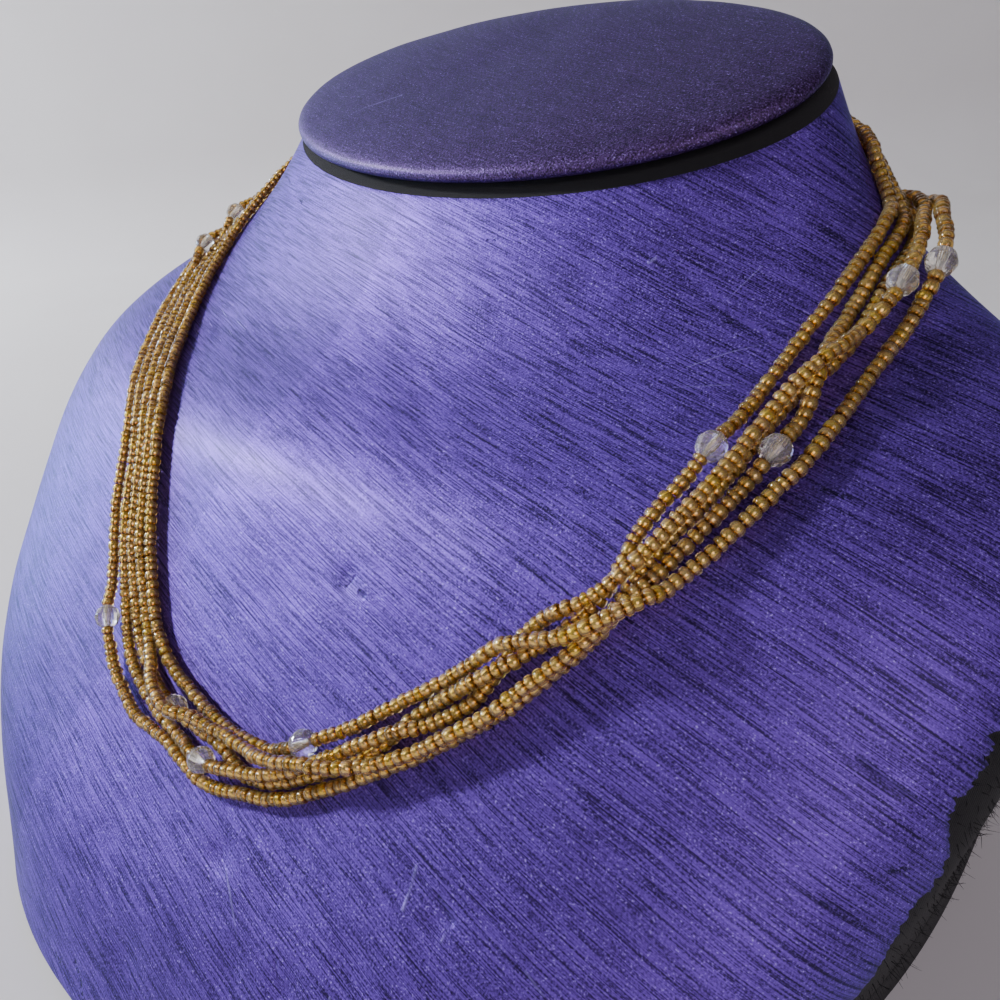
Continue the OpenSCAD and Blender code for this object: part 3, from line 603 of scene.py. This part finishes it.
def make_bust_skin():
    """The padded leatherette over the bust, from under the cap to the base's edge."""
    around = column_angles()
    points = []
    # flat top under the cap, then the rolled edge
    top = skin(around, 0.0)
    centre = np.array([0, neck_y, neck_h])
    up = np.array([0, -math.sin(math.radians(neck_tilt)), math.cos(math.radians(neck_tilt))])
    rolled = ((6.0, 0.0), (1.6, 0.0), (0.8, 0.05), (0.3, 0.28))
    for inset, drop in rolled:
        points.append(top + unit(centre - top) * inset - up * drop)
    rows = 168
    levels = np.linspace(1, 100, rows)
    points += [skin(around, down) for down in levels]
    # the edge turns in under itself
    edge = skin(around, 100.0)
    inward = unit(-skin_normal(around, 99.4) * np.array([1, 1, 0]))
    for sink, inset in ((1.15, 0.15), (1.3, 0.7), (-1.0, 3.0)):
        points.append(edge + inward * inset - np.array([0, 0, sink]))
    points = np.array(points)
    side = slice(len(rolled), len(rolled) + rows)
    points[side] = 2 * evened(points[side]) - evened(evened(points[side]))
    # the padded skin isn't quite even, and has a few dents
    soft = np.array([[noise.noise(Vector(p) * 0.028) * 0.35 + noise.noise(Vector(p) * 0.09) * 0.10
                      for p in row] for row in points[side]])
    normals = skin_normal(around[None, :], np.clip(levels[:, None], 0.6, 99.4))
    # the unevenness fades out towards the top and bottom edges
    order = np.arange(rows)
    fade = np.minimum(1, order / 12)[:, None] * np.minimum(1, (rows - 1 - order) / 10)[:, None]
    shift = (soft - 0.1) * fade
    for a, d, deep, size in dents:
        away = np.linalg.norm(points[side] - skin(a, d), axis=-1)
        shift -= deep * np.exp(-(away / size) ** 2)
    bare = np.array([[torn_below(a, level, spot) for a, spot in zip(around, ring)]
                     for level, ring in zip(levels, points[side])])
    leatherette_t = 0.55  # the skin's thickness, which is missing where it is torn away
    shift -= leatherette_t * np.clip(bare * 2, 0, 1)
    points[side] += normals * shift[..., None]
    columns = len(around)
    piece = mesh_piece("bust_skin", points.reshape(-1, 3), ring_faces(len(points), columns))
    for material in skin_leatherettes + [cover_cloth]:
        piece.data.materials.append(material)
    sector_of = [next(i for i, s in enumerate(sectors) if s[0] <= a < s[1]) for a in around]
    for face in piece.data.polygons:
        row, column = divmod(face.vertices[0], columns)
        # black cloth shows in the tear and under the edge; on the rolled top edge in the groove
        # under the cap it is painted shade, a black sheet standing in for the groove's shadow
        black = row < side.start or row >= side.stop - 1 or bare[row - side.start, column] > 0
        face.material_index = len(sectors) if black else sector_of[column]
    return finish_piece(piece, None, "leatherette", "bust_body")


def make_cap():
    """The oval cap: a rounded rim over the groove, and a slightly crowned, padded top."""
    columns, roll = 240, 3.0
    turn = math.radians(neck_tilt)
    # height above the neck's top, inset from the rim
    rows = [(0.2, groove_in), (groove_t - 0.1, groove_in)]
    rows += [(groove_t + height, inset) for height, inset in (
        (0, 1.5), (0.1, 0.8), (0.3, 0.32), (0.7, 0.05), (1.1, 0.0), (1.6, 0.14),
        (2.05, 0.5), (2.4, 1.1), (2.68, 2.0), (2.85, roll))]
    to_middle = cap_d / 2 - roll
    for s in np.linspace(0, to_middle, 32, endpoint=False)[1:]:
        rows.append((groove_t + 2.85 + 0.9 * (1 - math.exp(-s / 4.5)), roll + s))
    points = []
    for height, inset in rows:
        inner = max(0, inset - roll) / to_middle
        wide, deep = cap_w / 2 - min(inset, roll), cap_d / 2 - min(inset, roll)
        for k in range(columns):
            a = 2 * math.pi * k / columns
            x, y = wide * (1 - inner) * math.sin(a), -deep * (1 - inner) * math.cos(a)
            soft = min(1, max(0, height - groove_t - 1) / 2)
            lift = soft * (noise.noise(Vector((x, y, 3.0)) * 0.05) * 0.22
                           + noise.noise(Vector((x, y, 9.0)) * 0.14) * 0.10 - 0.15)
            z = height + lift
            points.append((x, neck_y + y * math.cos(turn) - z * math.sin(turn),
                           neck_h + y * math.sin(turn) + z * math.cos(turn)))
    faces = [tuple(reversed(f)) for f in ring_faces(len(rows), columns)]
    piece = mesh_piece("neck_cap_padded", points, faces)
    return finish_piece(piece, shaded_cap_leatherette, "leatherette", "neck_cap")


def make_cover():
    """The black cloth under the bust, which comes up its sides beneath the leatherette."""
    around = column_angles()
    edge = skin(around, 100.0)
    inward = -skin_normal(around, 99.4)
    flat = inward * np.array([1, 1, 0])
    rows = []
    for down, sink in ((93.5, 1.6), (94.5, 0.55), (97.0, 0.45), (99.0, 0.3)):
        rows.append(skin(around, down) - skin_normal(around, down) * sink)
    for height, inset in ((1.0, 0.1), (0.45, 0.1), (0.1, 0.5), (0.0, 1.4)):
        ring = edge + flat * inset
        ring[:, 2] = height
        rows.append(ring)
    points = np.array(rows)
    piece = mesh_piece("base_cover_cloth", points.reshape(-1, 3),
                       ring_faces(len(rows), len(around)))
    return finish_piece(piece, cover_cloth, "cover", "base_cover")


def make_fibres():
    """Frayed threads of the black cloth in the tear."""
    draw = random.Random(11)
    points, faces = [], []

    def hair(root, way, length, thick):
        side = unit(np.cross(way, np.array([0.3, 0.2, 1.0])))
        other = unit(np.cross(way, side))
        bend = side * draw.uniform(-0.5, 0.5) + other * draw.uniform(-0.5, 0.5)
        start = len(points)
        for s, w in ((0, 1.0), (0.5, 0.8), (1.0, 0.25)):
            centre = root + way * length * s + bend * length * s * s
            for k in range(3):
                a = 2 * math.pi * k / 3
                points.append(centre + (side * math.cos(a) + other * math.sin(a)) * thick * w / 2)
        faces.extend(tuple(start + k for k in reversed(face)) for face in ring_faces(3, 3))

    hairs, hair_faces = 563, 8
    while len(faces) < hairs * hair_faces:
        a, down = draw.uniform(50, 84), draw.uniform(58, 99)
        spot = skin(a, down)
        below = torn_below(a, down, spot)
        if below < 0 or (below > 2 and draw.random() < 0.4):
            continue
        normal = skin_normal(np.array(a), np.array(down))
        flow = unit(skin_across(np.array(a), np.array(down)))
        way = unit(normal * draw.uniform(0.3, 1.0) + np.array([0, 0, -0.25])
                   + flow * draw.uniform(-0.6, 0.6))
        tuft = 1.8 if math.sin(down * 1.3) + math.sin(down * 0.57) > 0.8 else 0.8
        hair(spot - normal * 0.65, way, draw.uniform(0.6, 1.3) * tuft, draw.uniform(0.07, 0.14))
    points = np.array(points)
    points[:, 2] = np.maximum(points[:, 2], 0.03)
    piece = mesh_piece("frayed_threads", points, faces, smooth=False)
    return finish_piece(piece, cover_cloth, "cover")


# ---- Strings of beads ----

bead_d, hole_d, bead_length = 2.04, 1.08, 1.3


def bead_tree():
    """Geometry nodes: a lined glass bead on every point, turned along the string."""
    tree = bpy.data.node_groups.new("String of lined beads", "GeometryNodeTree")
    face = tree.interface
    face.new_socket("Geometry", in_out="INPUT", socket_type="NodeSocketGeometry")
    for name, size in (("Bead diameter", bead_d), ("Hole diameter", hole_d),
                       ("Bead length", bead_length)):
        socket = face.new_socket(name, in_out="INPUT", socket_type="NodeSocketFloat")
        socket.default_value = size * MM
    for name in ("Glass", "Lining"):
        face.new_socket(name, in_out="INPUT", socket_type="NodeSocketMaterial")
    face.new_socket("Geometry", in_out="OUTPUT", socket_type="NodeSocketGeometry")
    start = tree.nodes.new("NodeGroupInput").outputs

    def new(kind, inputs=None, **settings):
        return add(tree, "GeometryNode" + kind, inputs, **settings).outputs

    def sums(what, a, b=0):
        return add(tree, "ShaderNodeMath", {0: a, 1: b}, operation=what).outputs[0]

    def attribute(name, kind):
        return new("InputNamedAttribute", {"Name": name}, data_type=kind)["Attribute"]

    outside, hole, length = (start[k] for k in ("Bead diameter", "Hole diameter", "Bead length"))
    half_length = sums("MULTIPLY", length, 0.5)
    # the wall's section is an arc a little over half round, closed by the flat side of the hole
    swept, back, sides = math.radians(210), 0.26, 10
    reach = sums("DIVIDE", sums("SUBTRACT", outside, hole), 2 * (1 + back))
    ring = new("CurvePrimitiveCircle", {
        "Resolution": sides, "Radius": sums("SUBTRACT", sums("MULTIPLY", outside, 0.5), reach)})
    wall = new("CurveArc", {"Resolution": 7, "Radius": 1, "Start Angle": -swept / 2,
                            "Sweep Angle": swept})
    closed = new("SetSplineCyclic", {"Geometry": wall["Curve"], "Cyclic": True})
    shape = add(tree, "ShaderNodeCombineXYZ", {0: reach, 1: half_length, 2: 1})
    squeezed = new("Transform", {"Geometry": closed[0], "Scale": shape.outputs[0]})
    glass = new("CurveToMesh", {"Curve": ring["Curve"], "Profile Curve": squeezed[0]})
    glass = new("SetShadeSmooth", {"Geometry": glass[0]})
    spot = add(tree, "ShaderNodeSeparateXYZ", {0: new("InputPosition")[0]})
    # how near each point is to the bead's ends, which the glass darkens as painted shade
    near_end = sums("DIVIDE", sums("ABSOLUTE", spot.outputs[2]), half_length)
    glass = new("StoreNamedAttribute", {"Geometry": glass[0], "Name": "near_end",
                                        "Value": near_end}, data_type="FLOAT", domain="POINT")
    glass = new("SetMaterial", {"Geometry": glass[0], "Material": start["Glass"]})
    # the lining reaches a little into the glass, which magnifies it
    core = new("MeshCylinder", {"Vertices": sides, "Radius": sums("MULTIPLY", hole, 0.53),
                                "Depth": sums("MULTIPLY", length, 0.82)}, fill_type="NGON")
    core = new("SetShadeSmooth", {"Geometry": core["Mesh"], "Selection": core["Side"]})
    core = new("SetMaterial", {"Geometry": core[0], "Material": start["Lining"]})
    bead = add(tree, "GeometryNodeJoinGeometry")
    for part in (glass, core):
        tree.links.new(part[0], bead.inputs[0])
    align = add(tree, "FunctionNodeAlignRotationToVector",
                {"Vector": attribute("ahead", "FLOAT_VECTOR")}, axis="Z")
    beads = new("InstanceOnPoints", {
        "Points": start["Geometry"], "Instance": bead.outputs[0], "Rotation": align.outputs[0],
        "Scale": attribute("size", "FLOAT_VECTOR")})
    add(tree, "NodeGroupOutput", {0: new("RealizeInstances", {0: beads[0]})[0]})
    return tree


def bead_runs(total, crystals, draw):
    """Places of beads on a string of that length, which leaves room for its crystals."""
    stops, half = [0.0], crystal_d / 2 * crystal_flat
    for c in crystals:
        stops += [c - half, c + half]
    stops.append(total)
    out = []
    for a, b in zip(stops[::2], stops[1::2]):
        lengths = []
        while sum(lengths) < b - a:
            kind = draw.random()
            lengths.append(draw.uniform(1.6, 1.9) if kind < 0.08 else
                           draw.uniform(0.85, 1.05) if kind < 0.2 else draw.gauss(1.28, 0.1))
        if sum(lengths) - (b - a) > bead_length / 2:
            lengths.pop()
        fit = (b - a) / sum(lengths)
        at = a
        for length in lengths:
            out.append((at + length * fit / 2, length * fit))
            at += length * fit
    return out


glass, lining = amber_glass(), gold_lining()
thread = cream_thread()
beads_on_points = bead_tree()


def make_string(number, rows):
    """A strand of beads strung along its charted line, with its thread."""
    draw = random.Random(100 + number)
    along = np.linspace(rows[0, 0] + 0.2, rows[-1, 0] - 0.2, 3200)
    line, away = place(rows, along)
    run = run_along(line)

    def at(s):
        return np.array([np.interp(s, run, line[:, c]) for c in range(3)])
    crystals = [float(np.interp(r[0], along, run)) for r in rows if r[3] == 1]
    spots, ahead, sizes, tint = [], [], [], []
    for s, length in bead_runs(run[-1], crystals, draw):
        way = unit(at(s + 0.5) - at(s - 0.5))
        tilt = np.array([draw.gauss(0, 0.08) for _ in range(3)])
        jump = np.array([draw.gauss(0, 0.05) for _ in range(3)])
        wide = min(1.05, max(0.9, draw.gauss(1.0, 0.035)))
        spots.append((at(s) + jump) * MM)
        ahead.append(unit(way + tilt))
        sizes.append((wide, wide * draw.uniform(0.98, 1.02), length * 0.96 / bead_length))
        tint.append(1.0 if draw.random() < 0.06 else min(1, max(0, draw.gauss(0.42, 0.16))))
    name = f"strand_{number}_beads"
    mesh = bpy.data.meshes.new(name)
    mesh.from_pydata([tuple(p) for p in spots], [], [])
    for key, values in (("ahead", ahead), ("size", sizes)):
        mesh.attributes.new(key, "FLOAT_VECTOR", "POINT").data.foreach_set(
            "vector", np.array(values, np.float32).ravel())
    mesh.attributes.new("tint", "FLOAT", "POINT").data.foreach_set("value", tint)
    source = bpy.data.objects.new(name + "_points", mesh)
    bpy.context.scene.collection.objects.link(source)
    modifier = source.modifiers.new("beads", "NODES")
    modifier.node_group = beads_on_points
    keys = {s.name: s.identifier for s in beads_on_points.interface.items_tree
            if s.in_out == "INPUT"}
    modifier[keys["Glass"]], modifier[keys["Lining"]] = glass, lining
    bpy.context.view_layer.update()
    made = bpy.data.meshes.new_from_object(
        source.evaluated_get(bpy.context.evaluated_depsgraph_get()))
    bpy.data.objects.remove(source)
    # the thread through all beads, seen inside the crystals
    sides, radius, line, away = 6, 0.12, line[::16], away[::16]
    way = unit(np.gradient(line, axis=0))
    across = unit(np.cross(away, way))
    up = np.cross(way, across)
    angles = [2 * math.pi * k / sides for k in range(sides)]
    rings = [line + (across * math.cos(a) + up * math.sin(a)) * radius for a in angles]
    points = np.stack(rings, 1).reshape(-1, 3) * MM
    string = bmesh.new()
    string.from_mesh(made)
    spot = [string.verts.new(p) for p in points]
    keep = len(made.materials)
    for face in ring_faces(len(line), sides):
        new_face = string.faces.new([spot[k] for k in reversed(face)])
        new_face.material_index, new_face.smooth = keep, True
    string.to_mesh(made)
    string.free()
    made.materials.append(thread)
    made.name = name
    piece = bpy.data.objects.new(name, made)
    bpy.context.scene.collection.objects.link(piece)
    return finish_piece(piece, None, "gold_seed", f"strand_{number}")


# ---- Cut crystals ----

crystal_glass = clear_crystal()


def make_crystal(number, rows, along):
    """A round crystal cut with long narrow facets, drilled for the thread."""
    near, far = (place(rows, np.array(along + d))[0] for d in (0.5, -0.5))
    half = (crystal_d / 2 + 2 * gap) / np.linalg.norm(near - far)
    a, b = place(rows, np.array(along - half))[0], place(rows, np.array(along + half))[0]
    middle_spot, way = (a + b) / 2, unit(b - a)
    count, r, hole = 18, crystal_d / 2 * 0.985, thread_d / 2 + 0.1
    # height, radius, turned half a facet or not
    bands = [(-crystal_flat, hole / r, 0), (-0.86, 0.50, 0), (-0.60, 0.80, 0), (-0.06, 0.995, 0),
             (0.06, 0.995, 1), (0.60, 0.80, 1), (0.86, 0.50, 1), (crystal_flat, hole / r, 1)]
    turn = random.Random(300 + number).uniform(0, 360)
    points, faces = [], []
    for height, reach, half_turn in bands:
        for k in range(count):
            angle = math.radians(turn) + 2 * math.pi * (k + half_turn / 2) / count
            points.append((reach * r * math.cos(angle), reach * r * math.sin(angle), height * r))
    for i in range(len(bands) - 1):
        shifted = bands[i + 1][2] != bands[i][2]
        for k in range(count):
            n = (k + 1) % count
            low, low_next = i * count + k, i * count + n
            high, high_next = (i + 1) * count + k, (i + 1) * count + n
            if shifted:
                faces += [(low, low_next, high), (low_next, high_next, high)]
            else:
                faces.append((low, low_next, high_next, high))
    last = (len(bands) - 1) * count
    for k in range(count):
        n = (k + 1) % count
        faces += [(k, last + k, n), (n, last + k, last + n)]
    turned = Vector(way).to_track_quat("Z", "Y").to_matrix()
    points = [tuple(turned @ Vector(p) + Vector(middle_spot)) for p in points]
    piece = mesh_piece(f"crystal_{number:02d}_cut", points, faces, smooth=False)
    shape = bmesh.new()
    shape.from_mesh(piece.data)
    bmesh.ops.recalc_face_normals(shape, faces=shape.faces)
    shape.to_mesh(piece.data)
    shape.free()
    return finish_piece(piece, crystal_glass, "crystal", f"crystal_{number:02d}")


def make_clasp():
    """A plain bar with rounded edges that takes all five strand ends behind the neck."""
    start, out_a = place(strands[4], np.array(strands[4][0, 0]))
    stop, out_b = place(strands[0], np.array(strands[0][-1, 0]))
    ahead, away = unit((start - stop) * np.array([1, 0, 0])), unit(out_a + out_b)
    length = abs((start - stop)[0]) - 9 * gap
    height, thick = 5 * strand_step + 2, 3.0
    across = np.cross(away, ahead)
    centre = (start + stop) / 2 + away * (thick / 2 - first_lift + 3 * gap)
    shape = bmesh.new()
    bmesh.ops.create_cube(shape, size=1)
    bmesh.ops.scale(shape, vec=(length, height, thick), verts=shape.verts)
    bmesh.ops.bevel(shape, geom=shape.edges[:], offset=0.7, segments=4, affect="EDGES",
                    profile=0.5)
    turn = Matrix([ahead, across, away]).transposed()
    bmesh.ops.rotate(shape, verts=shape.verts, matrix=turn, cent=(0, 0, 0))
    bmesh.ops.translate(shape, verts=shape.verts, vec=centre)
    bmesh.ops.scale(shape, vec=(MM, MM, MM), verts=shape.verts)
    mesh = bpy.data.meshes.new("clasp_bar")
    shape.to_mesh(mesh)
    shape.free()
    mesh.polygons.foreach_set("use_smooth", [True] * len(mesh.polygons))
    piece = bpy.data.objects.new("clasp_bar", mesh)
    bpy.context.scene.collection.objects.link(piece)
    return finish_piece(piece, brushed_brass(), "clasp_metal", "clasp")


make_bust_skin()
make_cap()
make_cover()
make_fibres()
for i, rows in enumerate(strands):
    make_string(i + 1, rows)
seats = [(rows, row[0]) for rows in strands for row in rows if row[3] == 1]
for i, (rows, along) in enumerate(seats):
    make_crystal(i + 1, rows, along)
make_clasp()


# ---- Floor, light and camera ----

# The photo's viewpoint: to the side, down, rolled, and in millimetres its place
azimuth, pitch, roll = (math.radians(v) for v in (41.2, 28.54, 5.52))
viewpoint = (99.54, -101.84, 122.86)


def make_stage():
    """A pale tabletop that curves up into a plain backdrop."""
    look = np.array([-math.sin(azimuth), math.cos(azimuth), 0])
    side = np.array([look[1], -look[0], 0])
    eye = np.array([*viewpoint[:2], 0])
    far, round_edge, wide, high = 640.0, 60.0, 2500, 900.0
    profile = [(-1500.0, 0.0), (0.0, 0.0), (far - round_edge, 0.0)]
    profile += [(far - round_edge + round_edge * math.sin(t), round_edge * (1 - math.cos(t)))
                for t in np.linspace(0.15, math.pi / 2, 10)]
    profile += [(far, high)]
    points, faces = [], []
    for d, z in profile:
        for s in (-wide, wide):
            points.append(eye + look * d + side * s + np.array([0, 0, z]))
    for i in range(len(profile) - 1):
        faces.append((2 * i, 2 * i + 1, 2 * i + 3, 2 * i + 2))
    floor = mesh_piece("floor", points, faces)
    n = Nodes("pale_floor")
    cloudy = n.noise(n.sized(60), 3.0)
    floor.data.materials.append(n.surface(
        Base_Color=n.mix(cloudy, (0.78, 0.76, 0.74), (0.84, 0.83, 0.81)), Roughness=0.85))


def area_light(name, spot, aim, size, power, color):
    """A round soft light, in metres and watts."""
    data = bpy.data.lights.new(name, "AREA")
    data.shape, data.size, data.energy, data.color = "DISK", size, power, color
    lamp = bpy.data.objects.new(name, data)
    bpy.context.scene.collection.objects.link(lamp)
    lamp.location = spot
    lamp.rotation_euler = (Vector(aim) - Vector(spot)).to_track_quat("-Z", "Y").to_euler()


make_stage()
area_light("key_light", (-0.88, -0.42, 0.56), (0, -0.02, 0.05), 0.13, 15, (0.92, 0.93, 1.0))
area_light("side_fill", (-0.95, -0.16, 0.12), (0, 0, 0.03), 0.5, 6.5, (0.40, 0.62, 1.0))
area_light("right_fill", (0.64, -0.68, 0.55), (0, 0, 0.05), 0.8, 4, (1.0, 0.86, 1.0))

world = bpy.data.worlds.new("studio")
bpy.context.scene.world = world
world.use_nodes = True
background = world.node_tree.nodes["Background"]
background.inputs["Color"].default_value = (0.95, 0.96, 1.0, 1)
background.inputs["Strength"].default_value = 0.14

eye = bpy.data.cameras.new("camera")
eye.sensor_width, eye.lens, eye.clip_start = 36, 31.84, 0.005
camera = bpy.data.objects.new("camera", eye)
bpy.context.scene.collection.objects.link(camera)
forward = Vector((-math.sin(azimuth) * math.cos(pitch), math.cos(azimuth) * math.cos(pitch),
                  -math.sin(pitch)))
right = Vector((math.cos(azimuth), math.sin(azimuth), 0))
below = forward.cross(right)
rolled = right * math.cos(roll) + below * math.sin(roll)
rolled_below = below * math.cos(roll) - right * math.sin(roll)
camera.matrix_world = Matrix.Translation(Vector(viewpoint) * MM) @ Matrix(
    (rolled, -rolled_below, -forward)).transposed().to_4x4()
bpy.context.scene.camera = camera
